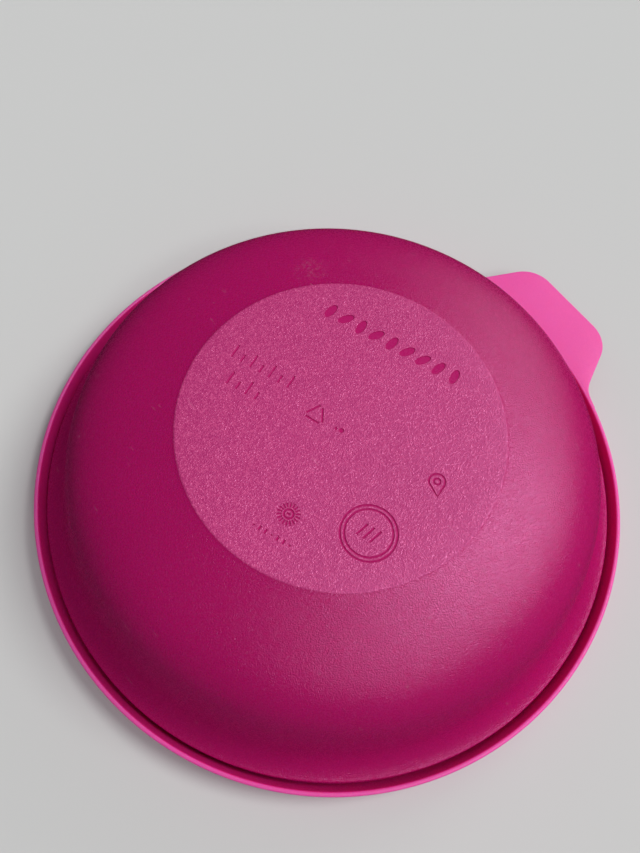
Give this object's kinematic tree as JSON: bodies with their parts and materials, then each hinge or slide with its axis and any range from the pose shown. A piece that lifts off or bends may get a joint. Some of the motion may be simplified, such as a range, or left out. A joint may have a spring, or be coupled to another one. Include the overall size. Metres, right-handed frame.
{
  "type": "rice bowl with lid",
  "caption": "Round plastic bowl with a flat textured base and flared rim, standing upside down on its press-on lid with a rounded pull tab.",
  "frame": {"origin": "centre of the lid's flat outer face, which the closed bowl stands on", "axes": "+Z along the common axis of lid and bowl, from the lid's outer face to the bowl's base; +X along the pull tab"},
  "size_m": [0.163, 0.15, 0.0415],
  "materials": {
    "bowl_plastic": "satin, fine grain on the wall and a coarser sparkling grain on the base disc",
    "lid_plastic": "soft satin"
  },
  "bodies": {
    "lid": {"lid": "lid_plastic"},
    "bowl": {"bowl": "bowl_plastic"}
  },
  "joints": [
    {"name": "bowl_lift", "type": "slide", "parent": "lid", "child": "bowl", "axis": [0, 0, 1], "range_m": [0, 0.08]}
  ]
}
